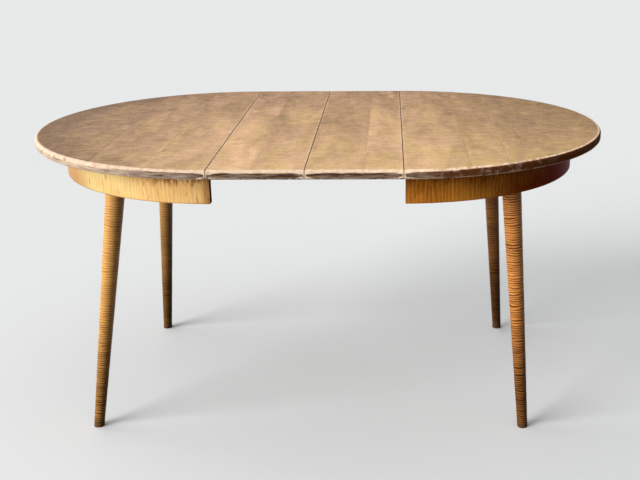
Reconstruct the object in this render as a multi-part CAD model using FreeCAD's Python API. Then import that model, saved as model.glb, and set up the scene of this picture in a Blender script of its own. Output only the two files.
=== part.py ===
"""An extending dining table: a round top split into two halves on splayed legs, drawn apart on
wooden slides with two drop-in leaves between them.

The table stands as it is used with both leaves in. X runs along the table, Y from front to back
and Z up, with the origin on the floor under the middle seam. The left half is modelled in place
and the right half is the same half turned half a turn about Z. Millimetres and degrees.
"""
import FreeCAD, Part
import math
import os

# Table top
table_height = 746.0
top_diameter = 1067.0
top_thickness = 22.2
leaf_width = 223.0
seam_gap = 0.4
seam_arris = 0.8
rim_upper_round = 8.0
rim_upper_flats = 3
rim_lower_chamfer = 3.0

# Curved apron under each half
apron_setback = 75.5
apron_thickness = 22.0
apron_height = 77.5
apron_end_setback = 5.0
glue_line = 0.1

# Legs: the bearing is measured at the centre of a half, from the tip of that half
leg_bearing = 46.6
leg_seat_inset = 45.0
leg_splay = 70.0
leg_seat_rise = 24.0
leg_head_diameter = 50.0
leg_foot_diameter = 26.5
front_left_kick = 42.0

# Blocks that carry the legs, and the bolts that hold them
block_past_seat = 29.0
block_width = 92.0
bolt_diameter = 8.0
bolt_in_leg = 55.0
insert_diameter = 13.0
insert_length = 26.0

# Glue blocks between apron and top
glue_block_size = 24.0
glue_block_length = 60.0
glue_block_bearings = (-72.0, 0.0, 72.0)

# Extension slides: a tongued rail runs in a grooved one at the front and at the rear
rail_block_clearance = 38.6
rail_end_clearance = 15.8
rail_width = 28.0
rail_height = 46.0
rail_gap = 0.6
rail_relief = 0.4
rail_nose = 14.0
tongue_reach = 10.0
tongue_root = 13.0
tongue_tip = 20.0
tongue_clearance = 0.35

# Stop blocks that end the slides' travel, as far along a rail past the middle as the share says
stop_share = 0.335
stop_length = 40.0
stop_height = 18.0
stop_reach = 18.0
stop_clearance = 0.6

# Cleats under the leaves
cleat_width = 22.0
cleat_height = 24.0
cleat_inset = 15.0
cleat_clearance = 0.6

# Wood screws: grip is the wood under the head, bite the length past the joint
block_screw_grip = 36.0
block_screw_bite = 14.0
block_screw_diameter = 5.0
block_screw_head = 10.0
block_screw_spacing = 66.0
block_screw_inset = 16.0
rail_screw_grip = 20.0
rail_screw_bite = 14.0
rail_screw_diameter = 4.5
rail_screw_head = 9.0
rail_screw_shares = (0.15, 0.85)
cleat_screw_bite = 13.0
cleat_screw_diameter = 4.0
cleat_screw_head = 8.0
cleat_screw_shares = (0.15, 0.85)
screw_clearance = 0.15

# Screws, bolts and their holes are out of sight below the top, so they are few-sided
fastener_sides = 6

# How far a cutting shape runs past what it cuts
cut_overrun = 20.0

# Places that follow from the sizes above
top_radius = top_diameter / 2
underside = table_height - top_thickness
half_edge = leaf_width + seam_gap * 1.5
apron_outer = top_radius - apron_setback
apron_inner = apron_outer - apron_thickness
apron_bottom = underside - apron_height
leg_seat = apron_bottom + leg_seat_rise
leg_seat_radius = apron_inner - leg_seat_inset
block_outer = apron_inner - glue_line
block_depth = leg_seat_inset + block_past_seat
block_angle = math.degrees(block_width / leg_seat_radius)
block_corner = (block_outer - block_depth) * math.sin(math.radians(leg_bearing - block_angle / 2))
rail_bottom = underside - rail_height
rail_web = rail_width - tongue_reach - tongue_clearance + rail_gap
outer_rail_back = block_corner - rail_block_clearance
slide_offset = outer_rail_back - rail_width - rail_gap / 2
inner_rail_back = slide_offset - rail_gap / 2 - rail_width
rail_reach = math.sqrt(apron_inner ** 2 - outer_rail_back ** 2) - rail_end_clearance
stop_face = (rail_reach - half_edge) * stop_share

up = FreeCAD.Vector(0, 0, 1)
along = FreeCAD.Vector(1, 0, 0)
centre = FreeCAD.Vector(0, 0, 0)
half_centre = FreeCAD.Vector(-half_edge - seam_arris, 0, 0)
half_turn = 180.0


def place(x, y, z):
    return FreeCAD.Vector(x, y, z)


def box(x_low, x_high, y_low, y_high, z_low, z_high):
    return Part.makeBox(x_high - x_low, y_high - y_low, z_high - z_low, place(x_low, y_low, z_low))


def outline(points):
    return Part.Face(Part.makePolygon(points + points[:1]))


def turned(profile, start, angle):
    """A profile drawn in the XZ plane, revolved about the centre of the left half from a bearing."""
    moved = profile.translated(half_centre).rotated(half_centre, up, start)
    return moved.revolve(half_centre, up, angle)


def faceted(rings, origin=centre, direction=up):
    """A few-sided bar through rings of height and radius, stood on an origin along a direction."""
    levels = []
    for height, radius in rings:
        corners = []
        for side in range(fastener_sides):
            angle = 2 * math.pi * side / fastener_sides
            corners.append(place(radius * math.cos(angle), radius * math.sin(angle), height))
        levels.append(corners)
    faces = [outline(levels[0]), outline(levels[-1])]
    for low, high in zip(levels, levels[1:]):
        for side in range(fastener_sides):
            faces.append(outline([low[side - 1], low[side], high[side], high[side - 1]]))
    bar = Part.Solid(Part.Shell(faces))
    bar.Placement = FreeCAD.Placement(origin, FreeCAD.Rotation(up, direction))
    return bar


def bored(solid, wells):
    return solid.cut(Part.makeCompound(wells))


class Screw:
    """A countersunk wood screw driven straight up, with the joint that it crosses at zero height."""

    def __init__(self, grip, bite, diameter, head):
        self.grip = grip
        self.bite = bite
        self.diameter = diameter
        self.head = head

    def rings(self, clearance):
        cone_top = -self.grip + (self.head - self.diameter) / 2
        return [
            (-self.grip, self.head / 2 + clearance),
            (cone_top, self.diameter / 2 + clearance),
            (self.bite + clearance, self.diameter / 2 + clearance),
        ]

    def solids(self, places):
        return [faceted(self.rings(0), spot) for spot in places]

    def wells(self, places, depth):
        """Holes for the screws, counterbored below their heads by a depth."""
        rings = self.rings(screw_clearance)
        mouth = (-self.grip - depth, rings[0][1])
        return [faceted([mouth] + rings, spot) for spot in places]


block_screw = Screw(block_screw_grip, block_screw_bite, block_screw_diameter, block_screw_head)
rail_screw = Screw(rail_screw_grip, rail_screw_bite, rail_screw_diameter, rail_screw_head)
cleat_screw = Screw(cleat_height, cleat_screw_bite, cleat_screw_diameter, cleat_screw_head)


def rim_points(inset):
    """The moulded rim in the XZ plane, from the underside up to the surface."""
    reach = top_radius - inset
    low = underside + inset
    high = table_height - inset
    ease = rim_lower_chamfer - inset
    crown = rim_upper_round - inset
    points = [place(reach - ease, 0, low), place(reach, 0, low + ease)]
    for flat in range(rim_upper_flats + 1):
        angle = math.pi / 2 * flat / rim_upper_flats
        points.append(place(reach - crown * (1 - math.cos(angle)), 0, high - crown * (1 - math.sin(angle))))
    return points


def cross_section(x, inset):
    """The outline of the top across the table at x, drawn in from its full size by an inset."""
    back = [place(x, point.x, point.z) for point in rim_points(inset)]
    front = [place(x, -point.y, point.z) for point in reversed(back)]
    return Part.makePolygon(back + front + back[:1])


def eased_seam(x_body, x_seam):
    """The last sliver of a panel at a seam, drawn in all round so that its arris is eased."""
    return Part.makeLoft([cross_section(x_body, 0), cross_section(x_seam, seam_arris)], True, True)


def half_top():
    """Half of the round top, with a moulded rim and eased edges along its seam."""
    section = outline(rim_points(0) + [place(0, 0, table_height), place(0, 0, underside)])
    disc = turned(section, half_turn / 2, half_turn)
    return disc.fuse(eased_seam(half_centre.x, -half_edge)).removeSplitter().Solids[0]


def leaf_panel(middle):
    """A drop-in leaf with the rim's moulding on its two ends and eased seams."""
    low = middle - leaf_width / 2
    high = middle + leaf_width / 2
    core = Part.Face(cross_section(low + seam_arris, 0)).extrude(along * (leaf_width - seam_arris * 2))
    seams = [eased_seam(low + seam_arris, low), eased_seam(high - seam_arris, high)]
    return core.fuse(seams).removeSplitter().Solids[0]


def ring_sector(inner, outer, low, high, bearing, angle):
    """A curved block that follows the apron, centred on a bearing from the tip of the left half."""
    face = outline([place(inner, 0, low), place(outer, 0, low), place(outer, 0, high), place(inner, 0, high)])
    return turned(face, half_turn + bearing - angle / 2, angle)


def apron():
    """The bent apron: half a ring whose square ends stop short of the seam."""
    ring = ring_sector(apron_inner, apron_outer, apron_bottom, underside, 0, half_turn)
    end = -half_edge - apron_end_setback
    beyond = apron_outer + cut_overrun
    return ring.cut(box(end, end + beyond, -beyond, beyond, 0, table_height)).Solids[0]


def glue_blocks():
    inner = block_outer - glue_block_size
    low = underside - glue_block_size
    angle = math.degrees(glue_block_length / block_outer)
    return [
        ring_sector(inner, block_outer, low, underside, bearing, angle)
        for bearing in glue_block_bearings
    ]


class LegLine:
    """The axis of one leg, from its seat under the block to the floor."""

    def __init__(self, bearing, kick):
        swing = math.radians(bearing)
        outward = place(-math.cos(swing), -math.sin(swing), 0)
        self.bearing = bearing
        self.seat = half_centre + outward * leg_seat_radius + up * leg_seat
        self.foot = half_centre + outward * (leg_seat_radius + leg_splay) - along * kick
        self.down = (self.foot - self.seat).normalize()
        self.length = (self.foot - self.seat).Length

    def rod(self, radius, above, below):
        """A few-sided bar on the axis, from above the seat to below it."""
        return faceted([(-above, radius), (below, radius)], self.seat, self.down)


def leg(line):
    """A tapered round leg, square at its head and cut level with the floor."""
    taper = (leg_head_diameter - leg_foot_diameter) / line.length / 2
    past_floor = leg_foot_diameter
    end_radius = leg_foot_diameter / 2 - taper * past_floor
    blank = Part.makeCone(leg_head_diameter / 2, end_radius, line.length + past_floor, line.seat, line.down)
    reach = past_floor + cut_overrun
    foot = line.foot
    floor = box(foot.x - reach, foot.x + reach, foot.y - reach, foot.y + reach, -reach, 0)
    shaped = blank.cut(floor).Solids[0]
    return shaped.cut(line.rod(bolt_diameter / 2 + screw_clearance, 0, bolt_in_leg + screw_clearance))


def leg_block(line):
    """A block against apron and top, with an underside square to the leg."""
    low = leg_seat - block_depth
    inner = block_outer - block_depth
    blank = ring_sector(inner, block_outer, low, underside, line.bearing, block_angle)
    seated = blank.cut(line.rod(block_depth + block_width, 0, block_depth + block_width))
    radius = insert_diameter / 2 + screw_clearance
    return seated.cut(line.rod(radius, insert_length + screw_clearance, cut_overrun))


def bolt_insert(line):
    sleeve = line.rod(insert_diameter / 2, insert_length, 0)
    return sleeve.cut(line.rod(bolt_diameter / 2 + screw_clearance, insert_length + cut_overrun, cut_overrun))


def hanger_bolt(line):
    return line.rod(bolt_diameter / 2, insert_length, bolt_in_leg)


def block_screw_places(line):
    """Two screws beside the leg, nearer the middle of the table, up into the top."""
    swing = math.radians(line.bearing)
    outward = place(-math.cos(swing), -math.sin(swing), 0)
    across = outward.cross(up)
    radius = block_outer - block_depth + block_screw_inset
    middle = half_centre + outward * radius + up * underside
    return [middle + across * (block_screw_spacing * side / 2) for side in (-1, 1)]


def tongue_outline(grow, back):
    """The dovetail, from behind its root plane to its tip, all its faces moved out by grow."""
    root = slide_offset - rail_gap / 2
    tip = root + tongue_reach
    middle = underside - rail_height / 2
    flare = (tongue_tip - tongue_root) / 2 / tongue_reach
    heel = tongue_root / 2 + grow - flare * back
    toe = tongue_tip / 2 + grow + flare * grow
    return outline([
        place(0, root - back, middle - heel),
        place(0, tip + grow, middle - toe),
        place(0, tip + grow, middle + toe),
        place(0, root - back, middle + heel),
    ])


def rail_blank(y_low, y_high):
    """A rail of the left half: full height under its own half, relieved where it passes the seam."""
    near = -half_edge - rail_reach
    far = -half_edge + rail_reach
    blank = box(near, far, y_low, y_high, rail_bottom, underside)
    over = y_high + cut_overrun
    relief = box(-half_edge, far + cut_overrun, y_low - cut_overrun, over, underside - rail_relief,
                 underside + cut_overrun)
    nose = outline([
        place(far - rail_nose, y_low - cut_overrun, rail_bottom),
        place(far, y_low - cut_overrun, rail_bottom),
        place(far, y_low - cut_overrun, rail_bottom + rail_nose),
    ]).extrude(place(0, y_high - y_low + cut_overrun * 2, 0))
    return bored(blank, [relief, nose])


def tongued_rail():
    """The inner rail of the pair behind the left half's middle, with its tongue facing out."""
    rail = rail_blank(inner_rail_back, slide_offset - rail_gap / 2)
    near = -half_edge - rail_reach
    sunk = tongue_outline(0, rail_gap)
    tongue = sunk.translated(along * near).extrude(along * (rail_reach * 2 - rail_nose))
    return rail.fuse(tongue).removeSplitter()


def grooved_rail():
    """The outer rail of the pair before the left half's middle, with its groove facing in."""
    rail = rail_blank(slide_offset + rail_gap / 2, outer_rail_back)
    near = -half_edge - rail_reach - cut_overrun
    groove = tongue_outline(tongue_clearance, 0)
    groove = groove.translated(along * near).extrude(along * (rail_reach + cut_overrun) * 2)
    return rail.cut(groove).mirror(centre, place(0, 1, 0))


def rail_screw_places(y):
    near = -half_edge - rail_reach
    return [place(near + rail_reach * share, y, underside) for share in rail_screw_shares]


def stop_block(y_back, y_reach):
    """A block under a rail that reaches below its neighbour, to meet the block on that one."""
    high = rail_bottom
    return box(stop_face, stop_face + stop_length, y_back, y_reach, high - stop_height, high)


def stop_relief(y_face, y_reach):
    """Room between a stop block and the rail that it reaches under."""
    near = stop_face - cut_overrun
    far = stop_face + stop_length + cut_overrun
    return box(near, far, y_face, y_reach, rail_bottom - stop_clearance, rail_bottom + cut_overrun)


def leaf_cleats(middle):
    reach = leaf_width / 2 - cleat_inset
    outer = inner_rail_back - cleat_clearance
    inner = outer - cleat_width
    low = underside - cleat_height
    front = box(middle - reach, middle + reach, -outer, -inner, low, underside)
    back = box(middle - reach, middle + reach, inner, outer, low, underside)
    return [front, back]


def cleat_screw_places(middle):
    reach = leaf_width / 2 - cleat_inset
    row = inner_rail_back - cleat_clearance - cleat_width / 2
    return [
        place(middle - reach + reach * 2 * share, side * row, underside)
        for side in (-1, 1)
        for share in cleat_screw_shares
    ]


def build_half(side):
    """Every piece of one half as a list of solids under its node's name."""
    turn = 1 if side == "left" else -1
    lines = {}
    for end, front in (("front", 1), ("rear", -1)):
        kick = front_left_kick if (side, end) == ("left", "front") else 0
        lines[end] = LegLine(leg_bearing * front * turn, kick)

    grooved_row = -(outer_rail_back - rail_web / 2)
    tongued_row = inner_rail_back + rail_web / 2
    grooved_face = -(slide_offset + rail_gap / 2)
    tongued_face = slide_offset - rail_gap / 2
    block_places = block_screw_places(lines["front"]) + block_screw_places(lines["rear"])
    grooved_places = rail_screw_places(grooved_row)
    tongued_places = rail_screw_places(tongued_row)
    block_wells = block_screw.wells(block_places, leg_seat + block_depth)
    rail_wells = rail_screw.wells(grooved_places + tongued_places, rail_height)

    stops = []
    for back, face in ((-outer_rail_back, grooved_face), (inner_rail_back, tongued_face)):
        block = stop_block(back, face + stop_reach)
        stops.append(block.cut(stop_relief(face, face + stop_reach + cut_overrun)))

    pieces = {
        "top": [bored(half_top(), block_wells + rail_wells)],
        "apron": [apron()],
        "glue_blocks": glue_blocks(),
        "block_screws": block_screw.solids(block_places),
        "grooved_rail": [bored(grooved_rail(), rail_wells)],
        "tongued_rail": [bored(tongued_rail(), rail_wells)],
        "rail_screws": rail_screw.solids(grooved_places + tongued_places),
        "slide_stops": stops,
        "hanger_bolts": [hanger_bolt(line) for line in lines.values()],
        "bolt_inserts": [bolt_insert(line) for line in lines.values()],
    }
    for end, line in lines.items():
        pieces[end + "_leg"] = [leg(line)]
        pieces[end + "_leg_block"] = [bored(leg_block(line), block_wells)]

    if side == "right":
        for name, solids in pieces.items():
            pieces[name] = [solid.rotated(centre, up, half_turn) for solid in solids]
    return {side + "_" + name: solids for name, solids in pieces.items()}


def build_leaf(side):
    """A leaf, the cleats that keep it square on the slides, and their screws."""
    middle = (leaf_width + seam_gap) / 2
    if side == "left":
        middle = -middle
    places = cleat_screw_places(middle)
    wells = cleat_screw.wells(places, cleat_height)
    return {
        side + "_leaf": [bored(leaf_panel(middle), wells)],
        side + "_leaf_cleats": [bored(cleat, wells) for cleat in leaf_cleats(middle)],
        side + "_cleat_screws": cleat_screw.solids(places),
    }


def main():
    os.makedirs("parts", exist_ok=True)
    nodes = {}
    for side in ("left", "right"):
        nodes.update(build_half(side))
        nodes.update(build_leaf(side))
    for name, solids in nodes.items():
        shape = solids[0] if len(solids) == 1 else Part.makeCompound(solids)
        shape.exportStep("parts/" + name + ".step")
        print(name, "solids", len(shape.Solids), "valid", shape.isValid(), "volume", round(shape.Volume))


main()
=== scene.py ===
"""Looks of an extending dining table in figured maple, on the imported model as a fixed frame.

Lengths are metres in that frame: X along the table, Y from front to back, Z up from the floor.
"""
import math
from typing import NamedTuple

import bmesh
import bpy
from bpy.props import FloatProperty, FloatVectorProperty, PointerProperty
from mathutils import Matrix, Vector


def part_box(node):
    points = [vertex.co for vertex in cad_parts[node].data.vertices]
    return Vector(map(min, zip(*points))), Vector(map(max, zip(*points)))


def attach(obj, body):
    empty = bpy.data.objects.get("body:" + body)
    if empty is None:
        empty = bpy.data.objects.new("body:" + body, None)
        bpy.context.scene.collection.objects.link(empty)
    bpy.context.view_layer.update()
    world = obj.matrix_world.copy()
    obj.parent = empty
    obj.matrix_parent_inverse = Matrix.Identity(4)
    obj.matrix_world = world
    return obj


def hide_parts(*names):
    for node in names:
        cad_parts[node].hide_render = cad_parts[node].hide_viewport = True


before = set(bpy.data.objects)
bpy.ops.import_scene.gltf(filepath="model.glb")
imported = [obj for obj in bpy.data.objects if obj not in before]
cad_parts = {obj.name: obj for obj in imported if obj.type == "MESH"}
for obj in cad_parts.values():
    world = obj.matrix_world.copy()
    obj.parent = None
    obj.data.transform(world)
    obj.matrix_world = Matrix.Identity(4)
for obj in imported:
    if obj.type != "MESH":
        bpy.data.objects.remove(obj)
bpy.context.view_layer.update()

bl_info = {
    "name": "Extending dining table",
    "version": (1, 0, 0),
    "blender": (4, 5, 0),
    "location": "View3D > Sidebar > Table",
    "description": "Wood finishes, slotted screws and a plain stage for an extending dining table",
    "category": "Object",
}

SIDES = ("left", "right")

# Places read from the frame
half_low, half_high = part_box("right_top")
surface = half_high.z
underside = half_low.z
half_length = half_high.x
rim_radius = half_high.y
half_centre = half_length - rim_radius
_, leaf_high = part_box("right_leaf")
outer_seam = (half_low.x + leaf_high.x) / 2
apron_low, apron_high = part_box("right_apron")
apron_outer = apron_high.x - half_centre
apron_end = apron_low.x
apron_bottom = apron_low.z

# Anything this near to a plane lies on it, and points this near to each other are one
thin = 0.0004
same_point = thin / 10

# Glue lines between the boards of the top, from the left tip to the right one, and the boards' tones
board_lines = (-0.513, -0.362, -outer_seam, -0.128, 0.0, 0.132, outer_seam, 0.377, 0.468)
board_tones = (0.97, 1.03, 0.985, 1.03, 0.95, 0.895, 1.05, 0.99, 0.98, 0.96)

# A short split in the right half
split_place = Vector((0.519, -0.156))
split_length = 0.112

# Shares of half the length, below zero on the left, where wear on the rim begins and is whole
stain_shares = (0.105, 0.725)
grey_shares = (-0.22, -0.7)
bleach_shares = (-0.47, -0.7)

# The same shares for the nicked stretch of the rim: its middle, and how far it reaches to each side
nick_middle = 0.58
nick_reach = 0.22

# Shares of the height below the top: where all legs turn brown, and the right legs duller
brown_shares = (0.58, 0.11)
dull_shares = (0.86, 0.66)

# Lean of the rings on a leg, as rise over run, so that they are square to the splay
ring_lean = 0.074

# Shifts that give each board, and each of several like pieces, figure of its own
board_shift = 37.0
piece_shift = 4.0

# Mean of a noise, and values of a noise between which a mark begins and is whole
noise_mean = 0.5
yellow_noise = (0.42, 0.6)
glue_noise = (0.4, 0.6)
bare_noise = (0.28, 0.46)
eased_noise = (0.45, 0.6)
nick_noise = (0.48, 0.6)
corner_noise = (0.36, 0.52)
speck_noise = (0.59, 0.69)
ring_noise = (-0.35, 0.6)
pale_noise = (0.28, 0.62)
tarnish_noise = (0.42, 0.7)

# Shares of a width between which a mark begins and is whole
glue_shares = (0.6, 0.2)
split_shares = (1.0, 0.3)
rim_shares = (1.15, 0.9)
corner_shares = (1.0, 0.4)
arris_shares = (0.2, -0.2)
seam_shares = (1.0, 0.6)
sawn_shares = (0.7, 0.5)
sunk_shares = (1.0, 4.0)
end_shares = (1.0, 1 / 3)
painted_shade_shares = (0.8, 0.2)
inside_shares = (0.8, 1.2)
dark_foot_shares = (1.0, 0.2)

# Height of stripes and rings, as a share of the grain's, and change of roughness with a noise
wave_relief = 0.3
sheen_contrast = 0.2

# Strength of the tarnish on metal, how far it dulls it, and the roughness that it adds
rust_tone = 0.8
rust_dullness = 0.5
rust_roughness = 0.35

# Sides of a round screw, and millimetres in a metre, for the camera
screw_sides = 28
millimetres = 1000.0


def colour(name, description, default):
    return FloatVectorProperty(
        name=name, description=description, default=default, subtype="COLOR", size=3, min=0.0, max=1.0
    )


def length(name, description, default):
    return FloatProperty(
        name=name, description=description, default=default, unit="LENGTH", min=0.0, precision=4
    )


def cells(name, description, default):
    """How far a noise runs along three axes before it changes."""
    return FloatVectorProperty(
        name=name, description=description, default=default, subtype="XYZ_LENGTH", size=3, precision=4
    )


def angle(name, description, degrees):
    return FloatProperty(
        name=name, description=description, default=math.radians(degrees), subtype="ANGLE"
    )


def share(name, description, default):
    return FloatProperty(
        name=name, description=description, default=default, subtype="FACTOR", min=0.0, max=1.0
    )


def amount(name, description, default):
    return FloatProperty(name=name, description=description, default=default, min=0.0)


class TopLook(bpy.types.PropertyGroup):
    pale: colour("Pale maple", "Lightest tan of the faded surface", (0.85, 0.53, 0.318))
    peach: colour("Peach maple", "Lightest tan of the yellower places", (0.83, 0.55, 0.25))
    brown: colour("Brown maple", "Darkest brown of the faded surface", (0.216, 0.128, 0.073))
    worn: colour("Worn edge", "Bare wood along the edges", (0.76, 0.555, 0.405))
    end_grain: colour("End grain", "Dark wood on the rim", (0.066, 0.034, 0.018))
    end_pale: colour("Pale end grain", "Dry wood on the rim", (0.50, 0.375, 0.28))
    end_red: colour("Red end grain", "Old stain on the rim", (0.15, 0.045, 0.013))
    seam: colour("Seam", "Dirt in the seams and glue lines", (0.10, 0.042, 0.012))
    raw: colour("Underside", "Unfinished wood below", (0.50, 0.35, 0.20))
    tone: share("Tone", "From brown to pale, in the middle", 0.53)
    # The top is darker to the back and towards the tips
    back_darkening: amount("Fade to the back", "Tone lost per metre to the back", 0.42)
    even_left: share("Even left", "Share of the back fade missing on the left", 0.6)
    tip_darkening: amount("Fade to the tips", "Tone lost per metre to the tips", 0.6)
    left_fade: amount("Fade on the left", "Tone lost where the rim is dry and grey", 0.08)
    edge_fade: amount("Fade to the edge", "Tone lost along the dry, grey rim", 0.17)
    edge_width: length("Faded edge", "Width of the browner border on the left", 0.14)
    patch_contrast: amount("Patch contrast", "Contrast of faded patches on the leaves", 1.02)
    patch_fade: amount("Patch fade", "Patch contrast lost per metre to the tips", 1.44)
    cloud_contrast: amount("Cloud contrast", "Contrast of small clouds", 0.66)
    streak_contrast: amount("Streak contrast", "Contrast of streaks along the table", 0.8)
    grain_contrast: amount("Grain contrast", "Contrast of grain across the table", 0.14)
    lump_contrast: amount("Lump contrast", "Contrast of dry places on the rim", 1.2)
    rub_contrast: amount("Rub contrast", "Contrast of waves in the worn edge", 0.8)
    raw_contrast: amount("Raw contrast", "Contrast of unfinished wood", 0.6)
    sheen_contrast: amount("Sheen contrast", "Change of roughness with the patches", 0.16)
    yellow: share("Yellow", "Strength of the yellower places", 0.6)
    yellow_right: share("Yellow right", "Yellow added where the rim is stained", 0.4)
    yellow_front: amount("Yellow front", "Yellow added per metre to the front", 0.5)
    glue_tone: share("Glue tone", "Darkness of the glue lines", 0.55)
    split_tone: share("Split tone", "Darkness of the split", 0.45)
    red_tone: share("Red tone", "Strength of the stain in pale end grain", 0.45)
    eased_tone: share("Eased tone", "Strength of the chips along the seams", 0.6)
    nick_bite: share("Nick bite", "How far the nicks break up the worn edge", 0.1)
    nick_shade: share("Nick shade", "Shade of the rim between the nicks", 0.3)
    bare_depth: share("Bare depth", "Depth of the worn edge, as a share of its width", 0.9)
    patches: cells("Patches", "Size of the faded patches", (0.08, 0.32, 0.25))
    tints: cells("Tints", "Size of the yellower places", (0.11, 0.24, 0.25))
    clouds: cells("Clouds", "Size of the small clouds", (0.03, 0.055, 0.111))
    streaks: cells("Streaks", "Size of the streaks", (0.055, 0.0105, 0.0833))
    grain: cells("Grain", "Size of the grain", (0.00238, 0.0714, 0.0714))
    grit: cells("Grit", "Size of the wear in the finish", (0.00588, 0.00417, 0.025))
    rubs: cells("Rubs", "Size of waves in the worn edge", (0.0333, 0.0333, 0.0167))
    chips: cells("Chips", "Size of chips along the edges", (0.0143, 0.0143, 0.0111))
    layers: cells("Layers", "Size of the lines on the rim", (0.0417, 0.0417, 0.00435))
    lumps: cells("Lumps", "Size of the dry places on the rim", (0.125, 0.125, 0.025))
    edge: length("Worn width", "Width of the worn upper edge", 0.0075)
    soft: length("Soft width", "Half the width over which the worn edge ends", 0.001)
    arris: length("Lower edge", "Height of the worn lower edge", 0.003)
    corner: length("Corner", "Width of the worn corners beside the seams", 0.005)
    taper: length("Taper", "Width of the longer wear beside the seams", 0.03)
    chip: length("Chip", "Width of the widest chip along a seam", 0.005)
    dirt: length("Seam width", "Half the width of the dirt in a seam", 0.0014)
    relief: length("Relief", "Height of the figure in the worn finish", 0.0012)
    bump: share("Bump", "Strength of the relief", 0.15)
    roughness: share("Roughness", "Sheen of the old finish", 0.46)
    raw_roughness: share("Raw roughness", "Roughness added on the rim and below", 0.2)
    gloss: share("Gloss", "Strength of reflections", 0.005)


class ApronLook(bpy.types.PropertyGroup):
    golden: colour("Golden", "Light stripes of the left apron", (0.74, 0.60, 0.25))
    honey: colour("Honey", "Light stripes beside the left seam", (1.0, 0.62, 0.235))
    amber: colour("Amber", "Dark stripes of the left apron", (0.64, 0.31, 0.098))
    russet: colour("Russet", "Redder wood at the left tip", (0.42, 0.22, 0.09))
    deep: colour("Deep amber", "Light stripes of the right apron", (0.87, 0.35, 0.045))
    umber: colour("Umber", "Dark stripes of the right apron", (0.27, 0.066, 0.006))
    cherry: colour("Red-brown", "Old stain towards the right tip", (0.26, 0.018, 0.003))
    raw: colour("Inside", "Unfinished wood inside the ring", (0.52, 0.36, 0.19))
    end_grain: colour("End grain", "Sawn ends beside the seams", (0.05, 0.022, 0.012))
    left_tone: share("Left tone", "Left apron, from dark to light stripes", 0.8)
    right_tone: share("Right tone", "Right apron, from dark to light stripes", 0.5)
    stripe_contrast: amount("Stripe contrast", "Contrast of upright stripes", 0.15)
    grain_contrast: amount("Grain contrast", "Contrast of the right apron's grain", 0.8)
    cloud_contrast: amount("Cloud contrast", "Contrast of the right apron's darker places", 1.1)
    dash_contrast: amount("Dash contrast", "Contrast of dashes in the dark end", 0.6)
    raw_contrast: amount("Raw contrast", "Contrast of unfinished wood", 0.4)
    tip_tone: share("Tip tone", "Strength of the redder wood", 0.9)
    end_tone: share("End tone", "Darkness of the dark end", 0.6)
    speck_tone: share("Speck tone", "Darkness of the dashes", 0.55)
    # Painted shade: darkness of the band just below the top
    painted_shade_tone: share("Shade tone", "Darkness of the dark band below the top", 0.8)
    sole_tone: share("Lower tone", "Darkness of the worn lower edge", 0.5)
    stripe: length("Stripe", "Pitch of the upright figure", 0.0096)
    bend: amount("Bend", "How far the stripes bend, in radians", 14.0)
    tip_wander: amount("Tip wander", "Wander of the redder edge, in radians", 0.3)
    stain_wander: amount("Stain wander", "Wander of the stain's edge, in radians", 0.7)
    wander: cells("Wander", "Size of the bends in the stripes", (0.0294, 0.111, 1.0))
    grain: cells("Grain", "Size of the fine grain", (0.00333, 0.05, 1.0))
    clouds: cells("Clouds", "Size of the darker places", (0.125, 0.0714, 1.0))
    dashes: cells("Dashes", "Size of the dark dashes", (0.00909, 0.0357, 1.0))
    stain_start: angle("Stain start", "Bearing from the tip where the old stain begins", 66.0)
    stain_full: angle("Stain full", "Bearing from the tip where the old stain is whole", 34.0)
    tip_start: angle("Tip start", "Bearing from the tip where the redder wood begins", 52.0)
    tip_full: angle("Tip full", "Bearing from the tip where the redder wood is whole", 33.0)
    honey_start: angle("Honey start", "Bearing from the tip where the wood turns to honey", 48.0)
    honey_full: angle("Honey full", "Bearing from the tip where the honey is whole", 80.0)
    # Painted light and shade: the left apron is darker along its lower edge and paler along its upper
    # edge, against the shadow that the top casts on it
    low_painted_shade: amount("Lower light", "Light along the left apron's lower edge", 0.86)
    high_painted_light: amount("Upper light", "Light along the left apron's upper edge", 1.2)
    end_stain: length("End stain", "Width of the left apron's dark end", 0.024)
    # Painted shade: a dark band just below the top, where the top's shadow falls
    painted_shade_band: length("Shade", "Height of the dark band below the top", 0.044)
    ragged: length("Ragged edge", "Wander of the dark band's edge", 0.132)
    sole: length("Lower edge", "Height of the worn lower edge", 0.003)
    skin: length("Face", "Depth of the lacquered outer face", 0.005)
    relief: length("Relief", "Height of the figure", 0.001)
    bump: share("Bump", "Strength of the relief", 0.08)
    roughness: share("Roughness", "Sheen of the lacquer", 0.38)
    raw_roughness: share("Raw roughness", "Roughness added inside and at the ends", 0.3)
    gloss: share("Gloss", "Strength of reflections", 0.008)


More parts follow.
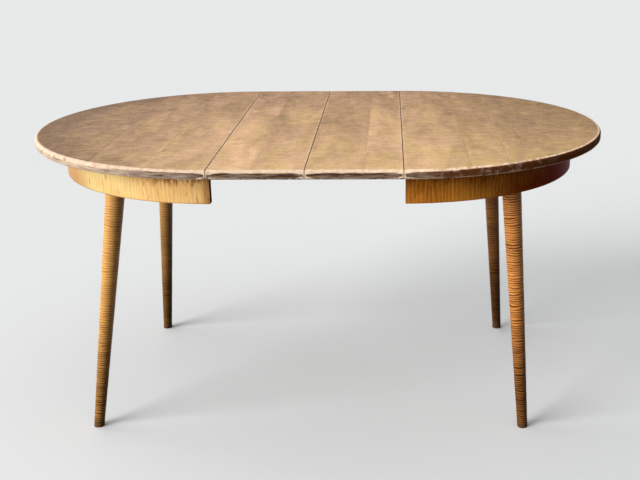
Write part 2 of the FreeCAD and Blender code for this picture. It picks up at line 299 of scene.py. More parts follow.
class LegLook(bpy.types.PropertyGroup):
    golden: colour("Golden", "Light wood between the rings", (0.70, 0.352, 0.090))
    orange: colour("Orange", "Light wood on the right legs", (0.86, 0.34, 0.080))
    ring: colour("Rings", "Dark rings of the figure", (0.12, 0.024, 0.002))
    # The legs turn darker and rougher just above the floor
    foot: colour("Foot", "Scuffed wood at the floor", (0.09, 0.045, 0.022))
    # Painted shade: the rear legs are darkened to stand in for the shade that falls on them
    rear_shaded_tone: share("Rear legs", "Tone of the browner rear legs", 0.5)
    ring_tone: share("Ring tone", "Darkness of the left legs' rings", 0.52)
    right_rings: share("Right rings", "Darkness added on the right legs", 0.38)
    low_rings: share("Low rings", "Darkness added near the floor", 0.5)
    even_rings: share("Even rings", "Part of the low rings missing on the right legs", 0.4)
    low_shade: share("Low shade", "Shade near the floor on the left legs", 0.46)
    right_shade: share("Right shade", "Shade added low on the right legs", 0.24)
    dull_shade: share("Dull shade", "Shade where the right legs are duller", 0.26)
    dark_foot_tone: share("Scuff tone", "Strength of the scuffs", 0.8)
    ring_contrast: amount("Ring contrast", "Contrast of rings", 0.7)
    grain_contrast: amount("Grain contrast", "Contrast of fine grain", 1.2)
    band_contrast: amount("Band contrast", "Contrast of bands of stronger rings", 2.2)
    cloud_contrast: amount("Cloud contrast", "Contrast of paler places", 0.5)
    pitch: length("Ring pitch", "Distance between the rings", 0.0063)
    bend: amount("Bend", "How far the rings bend, in radians", 16.0)
    wander: cells("Wander", "Size of the bends in the rings", (0.0909, 0.0909, 0.0217))
    bands: cells("Bands", "Size of the bands of stronger rings", (0.111, 0.111, 0.0294))
    grain: cells("Grain", "Size of the fine grain", (0.025, 0.025, 0.00238))
    clouds: cells("Clouds", "Size of the paler places", (0.167, 0.167, 0.111))
    dark_foot: length("Scuff", "Height of the scuffed foot", 0.03)
    relief: length("Relief", "Height of the figure", 0.0008)
    bump: share("Bump", "Strength of the relief", 0.08)
    roughness: share("Roughness", "Sheen of the lacquer", 0.36)
    dark_foot_roughness: share("Scuff roughness", "Roughness added by the scuffs", 0.3)
    gloss: share("Gloss", "Strength of reflections", 0.05)
    coat: share("Coat", "Thickness of the lacquer on the left legs", 0.38)
    coat_worn: share("Worn coat", "Share gone where the legs are brown", 0.95)
    coat_thin: share("Thin coat", "Share gone on the right legs", 0.4)
    coat_roughness: share("Coat roughness", "Sheen of the top coat", 0.3)


class HiddenLook(bpy.types.PropertyGroup):
    slide: colour("Slide", "Waxed maple of the slides and cleats", (0.55, 0.37, 0.19))
    slide_dark: colour("Slide grain", "Dark grain of the slides", (0.36, 0.22, 0.105))
    slide_cells: cells("Slide grain size", "Grain along the slides", (0.167, 0.00625, 0.00625))
    block: colour("Block", "Plain maple of the blocks", (0.50, 0.32, 0.16))
    block_dark: colour("Block grain", "Dark grain of the blocks", (0.31, 0.18, 0.085))
    block_cells: cells("Block grain size", "Grain across the table", (0.00833, 0.0714, 0.00833))
    patches: cells("Patches", "Size of the darker places", (0.111, 0.111, 0.111))
    patch_contrast: amount("Patch contrast", "Contrast of darker places", 0.5)
    relief: length("Relief", "Height of the grain", 0.0008)
    bump: share("Bump", "Strength of the relief", 0.1)
    roughness: share("Roughness", "Sheen of plain wood", 0.65)
    gloss: share("Gloss", "Strength of reflections", 0.1)
    steel: colour("Steel", "Screws and bolts", (0.52, 0.51, 0.49))
    brass: colour("Brass", "Threaded sleeves", (0.72, 0.50, 0.20))
    rust: colour("Tarnish", "Brown tarnish on the metal", (0.16, 0.085, 0.045))
    steel_roughness: share("Steel roughness", "Sheen of the steel", 0.34)
    brass_roughness: share("Brass roughness", "Sheen of the brass", 0.3)
    tarnish: cells("Tarnish size", "Size of the tarnished places", (0.00625, 0.00625, 0.00625))
    pits: length("Pits", "Depth of the tarnish", 0.0002)


class ScrewShape(bpy.types.PropertyGroup):
    slot_width: length("Slot width", "Width of the driver slot", 0.0012)
    slot_depth: length("Slot depth", "Depth of the driver slot", 0.0011)
    rim: length("Rim", "Plain ring round the slot", 0.0004)
    proud: length("Proud", "How far a head stands out of its hole", 0.0002)
    point: length("Point", "Length of the tapered point", 0.006)
    shank: share("Shank", "Width of the shank, as a share of the head's", 0.5)
    tip: share("Tip", "Width of the blunt tip, as a share of the shank's", 0.08)
    first_turn: angle("First slot", "Direction of the first slot", 34.0)
    next_turn: angle("Next slots", "Turn from one slot to the next", 63.0)


class StageLook(bpy.types.PropertyGroup):
    floor: colour("Floor", "Plain pale floor", (0.76, 0.77, 0.77))
    bounce: colour("Bounce", "Floor as it lights the table", (0.13, 0.125, 0.115))
    sky: colour("Surround", "Even light all round", (0.93, 0.97, 1.0))
    surround: amount("Surround strength", "Strength of the even light", 0.07)
    backdrop: colour("Backdrop", "Surround as the eye sees it", (0.82, 0.835, 0.835))
    key: amount("Key strength", "Large soft light from the left", 4.7)
    side: amount("Side strength", "Soft light along the left edge", 1.2)
    overhead: amount("Overhead strength", "Soft light from above", 0.9)
    back: amount("Back strength", "Soft light from the left behind", 1.2)
    floor_size: length("Floor size", "Width of the floor", 60.0)
    floor_roughness: share("Floor roughness", "Sheen of the floor", 0.9)
    floor_gloss: share("Floor gloss", "Strength of reflections", 0.0)
    lens: length("Lens", "Focal length of the camera", 0.05632)
    sensor: length("Sensor", "Width of the camera's picture", 0.036)
    eye: FloatVectorProperty(
        name="Eye", description="Place of the camera", default=(0.19146, -2.70837, 1.28685),
        subtype="TRANSLATION", unit="LENGTH", size=3
    )
    shift: FloatVectorProperty(
        name="Shift", description="Picture moved across the lens", default=(-0.0821, 0.0037), size=2
    )
    pitch: angle("Pitch", "Camera looks down by this much", 18.09)
    yaw: angle("Yaw", "Camera looks left by this much", 1.039)
    roll: angle("Roll", "Camera leans by this much", -0.413)


class TableLooks(bpy.types.PropertyGroup):
    top: PointerProperty(type=TopLook)
    apron: PointerProperty(type=ApronLook)
    leg: PointerProperty(type=LegLook)
    hidden: PointerProperty(type=HiddenLook)
    screw: PointerProperty(type=ScrewShape)
    stage: PointerProperty(type=StageLook)


def infix(operation):
    """A Python operator that adds a Math node, and its reflected form."""

    def plain(self, other):
        return self.math(operation, self, other)

    def reflected(self, other):
        return self.math(operation, other, self)

    return plain, reflected


class Value:
    """A shader socket that takes part in Python expressions, which add Math nodes."""

    def __init__(self, nodes, socket):
        self.nodes = nodes
        self.socket = socket

    def math(self, operation, first, second=0.0):
        return self.nodes.add("Math", {"operation": operation}, {0: first, 1: second})

    __add__, __radd__ = infix("ADD")
    __sub__, __rsub__ = infix("SUBTRACT")
    __mul__, __rmul__ = infix("MULTIPLY")
    __truediv__, __rtruediv__ = infix("DIVIDE")

    def __abs__(self):
        return self.math("ABSOLUTE", self)

    def root(self):
        return self.math("SQRT", self)

    def sine(self):
        return self.math("SINE", self)

    def at_least(self, other):
        return self.math("MAXIMUM", self, other)

    def at_most(self, other):
        return self.math("MINIMUM", self, other)

    def swing(self, contrast=1.0):
        """What a noise adds: nothing at its mean, and more or less to either side."""
        return (self - noise_mean) * contrast


class Nodes:
    """A node tree, with one method that adds any node and short names for the usual ones."""

    def __init__(self, tree):
        self.tree = tree

    def add(self, kind, settings, inputs, output=0):
        node = self.tree.nodes.new("ShaderNode" + kind)
        for key, setting in settings.items():
            if key == "stops":
                self.set_stops(node.color_ramp.elements, setting)
            elif key == "interpolation":
                node.color_ramp.interpolation = setting
            else:
                setattr(node, key, setting)
        self.fill(node, inputs)
        return Value(self, node.outputs[output])

    def fill(self, node, inputs):
        for key, value in inputs.items():
            self.feed(node.inputs[key], value)

    def feed(self, socket, value):
        if isinstance(value, Value):
            self.tree.links.new(value.socket, socket)
        elif socket.type == "RGBA":
            socket.default_value = (*value[:3], 1.0)
        else:
            socket.default_value = value

    def set_stops(self, elements, stops):
        """Puts grey tones on a ramp that still has its two first stops."""
        elements.remove(elements[-1])
        elements[0].position = stops[0][0]
        for position, _ in stops[1:]:
            elements.new(position)
        for element, (position, tone) in zip(elements, stops):
            element.color = (tone, tone, tone, 1.0)

    def place(self):
        return self.add("TexCoord", {}, {}, "Object")

    def split(self, vector):
        return [self.add("SeparateXYZ", {}, {0: vector}, axis) for axis in "XYZ"]

    def joined(self, x, y, z):
        return self.add("CombineXYZ", {}, {0: x, 1: y, 2: z})

    def noise(self, vector, sizes, detail=3.0, roughness=0.55, distortion=0.0):
        """Noise whose features have the given sizes along three axes."""
        scale = [1.0 / size for size in sizes]
        spread = self.add("Mapping", {}, {"Vector": vector, "Scale": scale})
        character = {"Detail": detail, "Roughness": roughness, "Distortion": distortion}
        return self.add("TexNoise", {}, {"Vector": spread, "Scale": 1.0, **character}, "Fac")

    def rise(self, value, low, high):
        """From 0 at low to 1 at high, smoothly; low may be above high."""
        span = {"Value": value, "From Min": low, "From Max": high}
        return self.add("MapRange", {"interpolation_type": "SMOOTHSTEP"}, span)

    def soft_edge(self, distance, width, shares):
        """From 0 at one share of a width to 1 at another, smoothly."""
        start, whole = shares
        return self.rise(distance, width * start, width * whole)

    def mix(self, first, second, factor):
        return self.add("Mix", {"data_type": "RGBA"}, {0: factor, 6: first, 7: second}, 2)

    def shaded(self, paint, factor):
        """A colour made lighter or darker by a factor."""
        return self.add("VectorMath", {"operation": "SCALE"}, {0: paint, "Scale": factor})

    def bump(self, height, strength, distance):
        return self.add("Bump", {}, {"Height": height, "Strength": strength, "Distance": distance})


def new_finish(name):
    """A material, its node tree and its Principled shader."""
    material = bpy.data.materials.new(name)
    material.use_nodes = True
    return material, Nodes(material.node_tree), material.node_tree.nodes["Principled BSDF"]


def set_wood(nodes, shader, look, wood, rough, height):
    """Gives a shader the colour of a wood, the change in its roughness, its relief and its gloss."""
    relief = nodes.bump(height, look.bump, look.relief)
    nodes.fill(shader, {"Base Color": wood, "Roughness": look.roughness + rough, "Normal": relief})
    nodes.fill(shader, {"Specular IOR Level": look.gloss})


def dress(material, names):
    """Puts a finish on nodes of the frame."""
    for name in names:
        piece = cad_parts[name]
        piece.data.materials.clear()
        piece.data.materials.append(material)


def put(name, data):
    """A new object in the scene."""
    piece = bpy.data.objects.new(name, data)
    bpy.context.scene.collection.objects.link(piece)
    return piece


def both(*names):
    return [side + "_" + name for side in SIDES for name in names]


def nearest(x, lines):
    """Distance from the nearest of several lines across the table."""
    gap = abs(x - lines[0])
    for line in lines[1:]:
        gap = gap.at_most(abs(x - line))
    return gap


class AlongRim(NamedTuple):
    """A number for the middle of the rim, and what each place along it adds."""

    middle: float
    dried: float = 0.0
    bleached: float = 0.0
    stained: float = 0.0
    near: float = 0.0


DRYNESS = AlongRim(middle=0.16, dried=0.34, bleached=0.3, stained=-0.2)
LAYER_CONTRAST = AlongRim(middle=2.0, dried=1.0)
BARE_DEPTH = AlongRim(middle=1.0, dried=-0.45, bleached=0.9, stained=-0.7, near=0.5)
# Lightness of the bare edge along the rim; on the stained right it is raised as a painted highlight
# along the crest
BARE_TONE_AND_HIGHLIGHT = AlongRim(middle=1.0, dried=-0.2, stained=0.5)
ARRIS_HEIGHT = AlongRim(middle=1.0, near=1.6)
ARRIS_WEAR = AlongRim(middle=1.0, stained=-0.4)


class TopPlace:
    """Where a point of a half or a leaf lies: from the tips, the rim, the surface and the seams."""

    def __init__(self, nodes, look):
        self.point = nodes.place()
        self.x, self.y, self.z = nodes.split(self.point)
        self.along = self.x / half_length
        self.reach = (abs(self.x) - half_centre).at_least(0.0)
        self.inset = rim_radius - (self.reach * self.reach + self.y * self.y).root()
        self.depth = surface - self.z
        self.seam = nearest(self.x, (-outer_seam, 0.0, outer_seam))
        self.near = nodes.rise(self.seam, look.taper, 0.0)
        self.stained = nodes.rise(self.along, *stain_shares)
        self.dried = nodes.rise(self.along, *grey_shares)
        self.bleached = nodes.rise(self.along, *bleach_shares)
        self.nicked = nodes.rise(abs(self.along - nick_middle), nick_reach, nick_reach / 2)

    def along_rim(self, numbers):
        """A number as it changes along the rim."""
        total = numbers.middle
        places = (self.dried, self.bleached, self.stained, self.near)
        for place, part in zip(places, numbers[1:]):
            if part:
                total = total + place * part
        return total


def board_tone(nodes, at):
    """The tone of the board that a point lies on."""
    stops = [(0.0, board_tones[0])]
    for line, tone in zip(board_lines, board_tones[1:]):
        stops.append((0.5 + line / (2 * half_length), tone))
    ramp = {"interpolation": "CONSTANT", "stops": stops}
    return nodes.add("ValToRGB", ramp, {0: 0.5 + at.along / 2})


def faded_boards(nodes, at, look):
    """Tan boards that turn browner to the back and the tips, with their patches and their relief."""
    board = board_tone(nodes, at)
    own = nodes.joined(at.x, at.y + board * board_shift, at.z)
    patches = nodes.noise(own, look.patches, detail=4.0, roughness=0.6, distortion=0.5)
    tints = nodes.noise(own, look.tints, roughness=0.6, distortion=0.5)
    clouds = nodes.noise(own, look.clouds, detail=5.0, roughness=0.7, distortion=0.4)
    streaks = nodes.noise(own, look.streaks, detail=4.0, roughness=0.65, distortion=0.3)
    grain = nodes.noise(own, look.grain)
    grit = nodes.noise(at.point, look.grit, roughness=0.75)

    border = nodes.rise(at.inset, look.edge_width, 0.0) * look.edge_fade
    # Darker to the back, less so on the left, and darker towards the tips
    back_darkening = look.back_darkening * (1.0 - at.dried * look.even_left)
    tone = look.tone - at.y * back_darkening - at.reach * look.tip_darkening
    tone = tone - at.dried * (border + look.left_fade)
    tone = tone + patches.swing(look.patch_contrast - at.reach * look.patch_fade)
    tone = tone + clouds.swing(look.cloud_contrast) + grain.swing(look.grain_contrast)
    tone = tone + streaks.swing(look.streak_contrast) + grit.swing(look.streak_contrast)
    yellow = nodes.rise(tints, *yellow_noise) * look.yellow
    yellow = yellow + at.stained * look.yellow_right - at.y * look.yellow_front
    pale = nodes.mix(look.pale, look.peach, yellow)
    wood = nodes.shaded(nodes.mix(look.brown, pale, tone), board)

    glue = nodes.soft_edge(nearest(at.x, board_lines), look.dirt, glue_shares)
    glue = glue * nodes.rise(clouds, *glue_noise)
    crack = nodes.soft_edge(abs(at.x - split_place.x), look.dirt, split_shares)
    half_split = split_length / 2
    crack = crack * nodes.rise(abs(at.y - split_place.y), half_split, half_split - look.edge)
    wood = nodes.mix(wood, look.seam, (glue * look.glue_tone).at_least(crack * look.split_tone))
    return wood, patches, (streaks + grit) / 2


def rim_face(nodes, at, look, chips):
    """End grain on the rim: dark in the middle, pale on the left, red-brown and nicked on the right."""
    layers = nodes.noise(at.point, look.layers, detail=4.0, roughness=0.65, distortion=0.4)
    lumps = nodes.noise(at.point, look.lumps)
    dry = at.along_rim(DRYNESS) + lumps.swing(look.lump_contrast)
    dry = dry + layers.swing(at.along_rim(LAYER_CONTRAST))
    dry = dry + (nodes.rise(chips, *nick_noise) - look.nick_shade) * at.nicked
    old = nodes.mix(look.end_grain, look.end_red, at.stained)
    return nodes.mix(old, nodes.mix(look.end_pale, look.end_red, at.stained * look.red_tone), dry)


def worn_rim(nodes, at, look, wood):
    """The rim over the boards: bare along its edges and chipped beside the seams, with its relief."""
    rubs = nodes.noise(at.point, look.rubs, detail=4.0, roughness=0.65)
    chips = nodes.noise(at.point, look.chips, detail=4.0, roughness=0.65)
    rubbed = look.bare_depth + rubs.swing(look.rub_contrast)
    bare_depth = at.along_rim(BARE_DEPTH) * rubbed * look.edge
    rim = nodes.soft_edge(at.inset, look.edge, rim_shares)
    face = rim * nodes.rise(at.depth, bare_depth - look.soft, bare_depth + look.soft)

    # Bare wood on the edge, raised on the right as a painted highlight along the crest
    worn = nodes.shaded(look.worn, (1.0 + chips.swing()) * at.along_rim(BARE_TONE_AND_HIGHLIGHT))
    bare = (rim - face) * nodes.rise(chips - at.nicked * look.nick_bite, *bare_noise)
    wood = nodes.mix(wood, worn, bare)
    chip = chips * look.chip
    eased = nodes.rise(at.seam, chip + look.dirt * 2, chip + look.dirt)
    eased = eased * nodes.rise(chips, *eased_noise)
    wood = nodes.mix(wood, look.worn, eased * look.eased_tone)
    wood = nodes.mix(wood, rim_face(nodes, at, look, chips), face)

    arris_top = underside + at.along_rim(ARRIS_HEIGHT) * look.arris
    arris = nodes.soft_edge(at.z - arris_top, look.arris, arris_shares)
    arris = arris * rim * at.along_rim(ARRIS_WEAR)
    corner = nodes.soft_edge(at.seam, look.corner, corner_shares) * rim
    wood = nodes.mix(wood, worn, arris.at_least(corner) * nodes.rise(chips, *corner_noise))
    return wood, rim, chips * rim


def seams_and_below(nodes, at, look, wood, relief):
    """Dirt in the seams over the wood, and unfinished wood inside them and below."""
    sawn = nodes.soft_edge(at.seam, look.dirt, sawn_shares)
    sawn = sawn * nodes.soft_edge(at.depth, look.soft, sunk_shares)
    below = nodes.rise(at.z, underside + thin, underside + thin / 2)
    raw = nodes.shaded(look.raw, 1.0 + relief.swing(look.raw_contrast))
    wood = nodes.mix(wood, look.seam, nodes.soft_edge(at.seam, look.dirt, seam_shares))
    return nodes.mix(wood, raw, sawn.at_least(below)), below


def top_finish(look):
    """Faded figured maple with worn edges, dark end grain on the rim and dirt in the seams."""
    material, nodes, shader = new_finish("figured maple top")
    at = TopPlace(nodes, look)
    wood, patches, relief = faded_boards(nodes, at, look)
    wood, rim, chipped = worn_rim(nodes, at, look, wood)
    wood, below = seams_and_below(nodes, at, look, wood, relief)
    rough = patches.swing(look.sheen_contrast) + (rim + below) * look.raw_roughness
    set_wood(nodes, shader, look, wood, rough, relief + chipped)
    return material


def apron_finish(look):
    """Lacquered maple bent round the table, with upright figure and a red-brown stain on the right."""
    material, nodes, shader = new_finish("figured maple apron")
    x, y, z = nodes.split(nodes.place())
    reach = abs(x) - half_centre
    radius = (reach * reach + y * y).root()
    bearing = nodes.add("Math", {"operation": "ARCTAN2"}, {0: y, 1: reach})
    right = nodes.rise(x, -half_centre, half_centre)
    run = nodes.joined(bearing * apron_outer, z, right * piece_shift)

    wander = nodes.noise(run, look.wander, detail=2.0)
    grain = nodes.noise(run, look.grain)
    clouds = nodes.noise(run, look.clouds)
    dashes = nodes.noise(run, look.dashes, detail=4.0, roughness=0.7)
    wave = (bearing * (apron_outer * math.tau / look.stripe) + wander.swing(look.bend)).sine()
    stripes = wave * look.stripe_contrast

    seamward = nodes.rise(abs(bearing), look.honey_start, look.honey_full)
    light = nodes.mix(look.golden, look.honey, seamward)
    left_wood = nodes.mix(look.amber, light, look.left_tone + stripes + grain.swing() + clouds.swing())
    left_tip = nodes.rise(abs(bearing) + clouds.swing(look.tip_wander), look.tip_start, look.tip_full)
    left_wood = nodes.mix(left_wood, look.russet, left_tip * look.tip_tone)
    # Painted light and shade: paler towards the upper edge, darker towards the lower one
    upward = nodes.rise(z, apron_bottom, underside)
    left_wood = nodes.shaded(left_wood, look.low_painted_shade + upward * (look.high_painted_light - look.low_painted_shade))
    end = nodes.soft_edge(abs(x) - apron_end, look.end_stain, end_shares)
    end = end * (look.end_tone + dashes.swing(look.dash_contrast))
    left_wood = nodes.mix(left_wood, look.umber, end)

    figure = look.right_tone + stripes + grain.swing(look.grain_contrast)
    right_wood = nodes.mix(look.umber, look.deep, figure + clouds.swing(look.cloud_contrast))
    edge = abs(bearing) + clouds.swing(look.stain_wander)
    stain = nodes.rise(edge, look.stain_start, look.stain_full)
    right_wood = nodes.mix(right_wood, look.cherry, stain)
    wood = nodes.mix(left_wood, right_wood, right)

    # Dark dashes, a painted shade below the top and the worn lower edge, all mixed towards umber
    specks = nodes.rise(dashes, *speck_noise) * look.speck_tone
    painted_shade_band = nodes.soft_edge(underside - z - dashes.swing(look.ragged), look.painted_shade_band, painted_shade_shares)
    painted_shade_band = painted_shade_band * (seamward * seamward).at_least(right) * look.painted_shade_tone
    sole = nodes.soft_edge(z - apron_bottom, look.sole, end_shares) * look.sole_tone
    wood = nodes.mix(wood, look.umber, specks.at_least(painted_shade_band).at_least(sole))

    inside = nodes.soft_edge(apron_outer - radius, look.skin, inside_shares)
    wood = nodes.mix(wood, nodes.shaded(look.raw, 1.0 + grain.swing(look.raw_contrast)), inside)
    sawn = nodes.rise(abs(x), apron_end + thin * 2, apron_end + thin)
    wood = nodes.mix(wood, look.end_grain, sawn)
    rough = grain.swing(sheen_contrast) + (inside + sawn) * look.raw_roughness
    set_wood(nodes, shader, look, wood, rough, wave * wave_relief + grain)
    return material


def leg_finish(look):
    """Lacquered maple legs with dark rings across the grain, square to the splay."""
    material, nodes, shader = new_finish("ringed maple legs")
    x, y, z = nodes.split(nodes.place())
    right = nodes.rise(x, -half_centre, half_centre)
    rear = nodes.rise(y, -half_centre, half_centre)
    height = z - (abs(x) + abs(y)) * ring_lean
    own = nodes.joined(x + right * piece_shift, y + rear * piece_shift, height)

    wander = nodes.noise(own, look.wander, detail=2.0)
    bands = nodes.noise(own, look.bands)
    grain = nodes.noise(own, look.grain, detail=2.0)
    clouds = nodes.noise(own, look.clouds)
    wave = (height * (math.tau / look.pitch) + wander.swing(look.bend)).sine()
    figure = wave * look.ring_contrast + grain.swing(look.grain_contrast)
    dark = nodes.rise(figure + bands.swing(look.band_contrast), *ring_noise)

    low = nodes.rise(z / underside, *brown_shares)
    dull = nodes.rise(z / underside, *dull_shares) * right
    clean = nodes.mix(look.golden, look.orange, right)
    clean = nodes.shaded(clean, 1.0 + clouds.swing(look.cloud_contrast))
    ring_tone = look.ring_tone + right * look.right_rings
    ring_tone = ring_tone + low * (look.low_rings - right * look.even_rings)
    wood = nodes.mix(clean, look.ring, dark * ring_tone)
    wood = nodes.shaded(wood, 1.0 - low * (look.low_shade + right * look.right_shade))
    # Darker where the right legs are duller, and darker on the rear legs as painted shade
    wood = nodes.shaded(wood, (1.0 - dull * look.dull_shade) * (1.0 - rear * (1.0 - look.rear_shaded_tone)))
    # Darker and rougher just above the floor
    dark_foot = nodes.soft_edge(z + grain.swing(look.dark_foot), look.dark_foot, dark_foot_shares)
    wood = nodes.mix(wood, look.foot, dark_foot * look.dark_foot_tone)
    rough = grain.swing(sheen_contrast) + dark_foot * look.dark_foot_roughness
    set_wood(nodes, shader, look, wood, rough, wave * wave_relief + grain)

    lacquer = (1.0 - low * look.coat_worn) * (1.0 - right * look.coat_thin)
    nodes.fill(shader, {"Coat Weight": lacquer * look.coat, "Coat Roughness": look.coat_roughness})
    return material


def plain_maple(name, pale, dark, grain_sizes, look):
    """Unfinished maple with its grain along one axis."""
    material, nodes, shader = new_finish(name)
    place = nodes.place()
    grain = nodes.noise(place, grain_sizes, detail=4.0, roughness=0.6, distortion=0.4)
    patches = nodes.noise(place, look.patches)
    wood = nodes.mix(dark, pale, nodes.rise(grain + patches.swing(look.patch_contrast), *pale_noise))
    set_wood(nodes, shader, look, wood, patches.swing(sheen_contrast), grain)
    return material


def worn_metal(name, bright, roughness, look):
    """Metal with tarnish in patches."""
    material, nodes, shader = new_finish(name)
    spots = nodes.noise(nodes.place(), look.tarnish, detail=4.0, roughness=0.65)
    tarnish = nodes.rise(spots, *tarnish_noise)
    paint = nodes.mix(bright, look.rust, tarnish * rust_tone)
    nodes.fill(shader, {"Base Color": paint, "Metallic": 1.0 - tarnish * rust_dullness})
    nodes.fill(shader, {"Roughness": roughness + tarnish * rust_roughness})
    nodes.fill(shader, {"Normal": nodes.bump(spots, look.bump, look.pits)})
    return material


def solid_boxes(name):
    """The lowest and highest corners of each separate solid in a node, from left to right."""
    shape = bmesh.new()
    shape.from_mesh(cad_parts[name].data)
    bmesh.ops.remove_doubles(shape, verts=shape.verts, dist=same_point)
    boxes = []
    found = set()
    for start in shape.verts:
        if start in found:
            continue
        solid = [start]
        found.add(start)
        for vert in solid:
            for edge in vert.link_edges:
                other = edge.other_vert(vert)
                if other not in found:
                    found.add(other)
                    solid.append(other)
        low = Vector([min(vert.co[axis] for vert in solid) for axis in range(3)])
        high = Vector([max(vert.co[axis] for vert in solid) for axis in range(3)])
        boxes.append((low, high))
    shape.free()
    return sorted(boxes, key=lambda box: tuple(box[0]))


def cut_slot(shape, head, sizes):
    """Sinks a straight slot across the face of a head, inside a plain ring."""
    bmesh.ops.inset_region(shape, faces=[head], thickness=sizes.rim)
    strip = head
    for side in (-1, 1):
        across = Vector((0.0, side, 0.0))
        cut = bmesh.ops.bisect_plane(
            shape, geom=[strip, *strip.edges, *strip.verts],
            plane_co=across * sizes.slot_width / 2, plane_no=across
        )
        faces = [item for item in cut["geom"] if isinstance(item, bmesh.types.BMFace)]
        strip = min(faces, key=lambda face: abs(face.calc_center_median().y))
    slot = bmesh.ops.extrude_discrete_faces(shape, faces=[strip])["faces"][0]
    bmesh.ops.translate(shape, vec=(0.0, 0.0, sizes.slot_depth), verts=slot.verts)


def slotted_screw(head_radius, reach, sizes):
    """A countersunk slotted screw that points up, with the middle of its head at the origin."""
    sink = head_radius * (1.0 - sizes.shank)
    steps = ((sink, sizes.shank), (reach - sink - sizes.point, 1.0), (sizes.point, sizes.tip))
    shape = bmesh.new()
    bmesh.ops.create_circle(shape, cap_ends=True, segments=screw_sides, radius=head_radius)
    shape.faces.ensure_lookup_table()
    head = shape.faces[0]
    end = head
    for rise, scale in steps:
        grown = bmesh.ops.extrude_face_region(shape, geom=[end], use_keep_orig=True)
        if end is not head:
            bmesh.ops.delete(shape, geom=[end], context="FACES_ONLY")
        end = next(item for item in grown["geom"] if isinstance(item, bmesh.types.BMFace))
        bmesh.ops.translate(shape, vec=(0.0, 0.0, rise), verts=end.verts)
        bmesh.ops.scale(shape, vec=(scale, scale, 1.0), verts=end.verts)
    cut_slot(shape, head, sizes)
    bmesh.ops.recalc_face_normals(shape, faces=shape.faces)
    return shape


def screws(node, body, sizes, material):
    """Slotted screws in place of a node's few-sided ones."""
    mesh = bpy.data.meshes.new(node + "_slotted")
    group = bmesh.new()
    for count, (low, high) in enumerate(solid_boxes(node)):
        screw = slotted_screw((high.x - low.x) / 2, high.z - low.z, sizes)
        middle = (low + high) / 2
        place = Matrix.Translation((middle.x, middle.y, low.z - sizes.proud))
        screw.transform(place @ Matrix.Rotation(sizes.first_turn + count * sizes.next_turn, 4, "Z"))
        screw.to_mesh(mesh)
        screw.free()
        group.from_mesh(mesh)
    group.to_mesh(mesh)
    group.free()
    mesh.materials.append(material)
    piece = put(node + "_slotted", mesh)
    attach(piece, body)
    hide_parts(node)


class FinishTops(bpy.types.Operator):
    """Give the two halves and the two leaves their faded, figured maple"""

    bl_idname = "dining_table.finish_tops"
    bl_label = "Finish tops and leaves"

    def execute(self, context):
        dress(top_finish(context.scene.dining_table.top), both("top", "leaf"))
        return {"FINISHED"}


class FinishAprons(bpy.types.Operator):
    """Give the two bent aprons their striped maple"""

    bl_idname = "dining_table.finish_aprons"
    bl_label = "Finish aprons"

    def execute(self, context):
        dress(apron_finish(context.scene.dining_table.apron), both("apron"))
        return {"FINISHED"}


class FinishLegs(bpy.types.Operator):
    """Give the four legs their ringed maple"""

    bl_idname = "dining_table.finish_legs"
    bl_label = "Finish legs"

    def execute(self, context):
        dress(leg_finish(context.scene.dining_table.leg), both("front_leg", "rear_leg"))
        return {"FINISHED"}


class FinishSlides(bpy.types.Operator):
    """Give the slides, their stops and the leaf cleats waxed plain maple"""

    bl_idname = "dining_table.finish_slides"
    bl_label = "Finish slides"

    def execute(self, context):
        look = context.scene.dining_table.hidden
        maple = plain_maple("waxed maple slides", look.slide, look.slide_dark, look.slide_cells, look)
        dress(maple, both("grooved_rail", "tongued_rail", "slide_stops", "leaf_cleats"))
        return {"FINISHED"}


class FinishBlocks(bpy.types.Operator):
    """Give the leg blocks and glue blocks plain maple"""

    bl_idname = "dining_table.finish_blocks"
    bl_label = "Finish blocks"

    def execute(self, context):
        look = context.scene.dining_table.hidden
        maple = plain_maple("plain maple blocks", look.block, look.block_dark, look.block_cells, look)
        dress(maple, both("front_leg_block", "rear_leg_block", "glue_blocks"))
        return {"FINISHED"}


class FitMetal(bpy.types.Operator):
    """Finish the bolts and sleeves, and fit slotted screws in place of the plain ones"""

    bl_idname = "dining_table.fit_metal"
    bl_label = "Fit metal"

    def execute(self, context):
        look = context.scene.dining_table.hidden
        sizes = context.scene.dining_table.screw
        steel = worn_metal("tarnished steel", look.steel, look.steel_roughness, look)
        brass = worn_metal("dull brass", look.brass, look.brass_roughness, look)
        dress(steel, both("hanger_bolts"))
        dress(brass, both("bolt_inserts"))
        for side in SIDES:
            screws(side + "_block_screws", side + "_half", sizes, steel)
            screws(side + "_rail_screws", side + "_half", sizes, steel)
            screws(side + "_cleat_screws", side + "_leaf", sizes, steel)
        return {"FINISHED"}


class Sun(NamedTuple):
    """Width, height and bearing of a soft sun, in degrees; at bearing 0 it shines from the front."""

    width: float
    height: float
    bearing: float


KEY_SUN = Sun(width=40.0, height=18.0, bearing=-57.0)
SIDE_SUN = Sun(width=30.0, height=14.0, bearing=-104.0)
OVERHEAD_SUN = Sun(width=90.0, height=76.0, bearing=-20.0)
BACK_SUN = Sun(width=60.0, height=25.0, bearing=-140.0)


def hang_sun(name, strength, sun):
    lamp = bpy.data.lights.new(name, "SUN")
    lamp.energy = strength
    lamp.angle = math.radians(sun.width)
    tilt = Matrix.Rotation(math.pi / 2 - math.radians(sun.height), 4, "X")
    put(name, lamp).matrix_world = Matrix.Rotation(math.radians(sun.bearing), 4, "Z") @ tilt


def in_view(nodes):
    """1 for what the eye sees, also in a reflection or through glass, and 0 for light on the table."""
    rays = ("Is Camera Ray", "Is Glossy Ray", "Is Transmission Ray")
    camera, glossy, glass = [nodes.add("LightPath", {}, {}, ray) for ray in rays]
    return camera.at_least(glossy).at_least(glass)


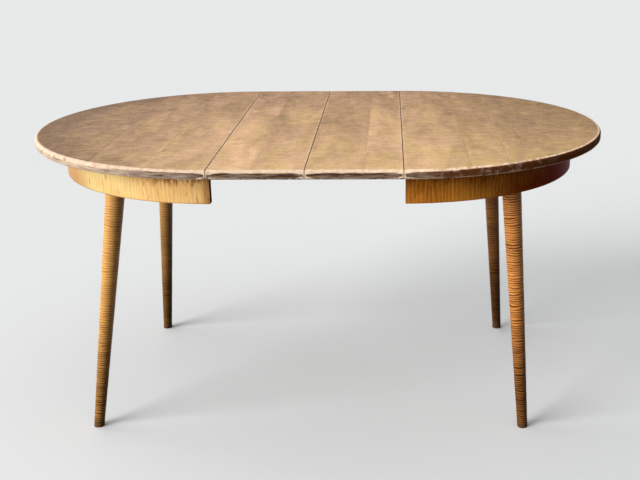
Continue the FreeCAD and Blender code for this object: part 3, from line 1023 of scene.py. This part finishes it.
class SetStage(bpy.types.Operator):
    """Lay the floor, set the lights and put the camera where the photograph was taken"""

    bl_idname = "dining_table.set_stage"
    bl_label = "Set stage"

    def execute(self, context):
        look = context.scene.dining_table.stage
        self.lay_floor(look)
        self.light(context.scene, look)
        self.aim_camera(context.scene, look)
        context.scene.view_settings.view_transform = "Standard"
        return {"FINISHED"}

    def lay_floor(self, look):
        shape = bmesh.new()
        bmesh.ops.create_grid(shape, x_segments=1, y_segments=1, size=look.floor_size / 2)
        mesh = bpy.data.meshes.new("floor")
        shape.to_mesh(mesh)
        shape.free()
        floor = put("floor", mesh)
        material, nodes, shader = new_finish("pale floor")
        nodes.fill(shader, {"Base Color": nodes.mix(look.bounce, look.floor, in_view(nodes))})
        nodes.fill(shader, {"Roughness": look.floor_roughness, "Specular IOR Level": look.floor_gloss})
        mesh.materials.append(material)

    def light(self, scene, look):
        hang_sun("key", look.key, KEY_SUN)
        hang_sun("side", look.side, SIDE_SUN)
        hang_sun("overhead", look.overhead, OVERHEAD_SUN)
        hang_sun("back", look.back, BACK_SUN)
        world = bpy.data.worlds.new("surround")
        world.use_nodes = True
        nodes = Nodes(world.node_tree)
        lit = nodes.add("Background", {}, {"Color": look.sky, "Strength": look.surround})
        plain = nodes.add("Background", {}, {"Color": look.backdrop, "Strength": 1.0})
        shown = nodes.add("MixShader", {}, {0: in_view(nodes), 1: lit, 2: plain})
        nodes.feed(world.node_tree.nodes["World Output"].inputs["Surface"], shown)
        scene.world = world

    def aim_camera(self, scene, look):
        camera = bpy.data.cameras.new("camera")
        camera.sensor_width = look.sensor * millimetres
        camera.lens = look.lens * millimetres
        camera.shift_x, camera.shift_y = look.shift
        yaw = Matrix.Rotation(look.yaw, 4, "Z")
        pitch = Matrix.Rotation(math.pi / 2 - look.pitch, 4, "X")
        roll = Matrix.Rotation(look.roll, 4, "Z")
        scene.camera = put("camera", camera)
        scene.camera.matrix_world = Matrix.Translation(look.eye) @ yaw @ pitch @ roll


class TablePanel(bpy.types.Panel):
    """Steps that dress the table"""

    bl_idname = "VIEW3D_PT_dining_table"
    bl_label = "Dining table"
    bl_space_type = "VIEW_3D"
    bl_region_type = "UI"
    bl_category = "Table"

    def draw(self, context):
        for step in STEPS:
            self.layout.operator(step.bl_idname)


STEPS = (FinishTops, FinishAprons, FinishLegs, FinishSlides, FinishBlocks, FitMetal, SetStage)
GROUPS = (TopLook, ApronLook, LegLook, HiddenLook, ScrewShape, StageLook, TableLooks)
CLASSES = GROUPS + STEPS + (TablePanel,)


def register():
    for kind in CLASSES:
        bpy.utils.register_class(kind)
    bpy.types.Scene.dining_table = PointerProperty(type=TableLooks)


def unregister():
    del bpy.types.Scene.dining_table
    for kind in reversed(CLASSES):
        bpy.utils.unregister_class(kind)


def main():
    register()
    bpy.ops.dining_table.finish_tops()
    bpy.ops.dining_table.finish_aprons()
    bpy.ops.dining_table.finish_legs()
    bpy.ops.dining_table.finish_slides()
    bpy.ops.dining_table.finish_blocks()
    bpy.ops.dining_table.fit_metal()
    bpy.ops.dining_table.set_stage()


if __name__ == "__main__":
    main()
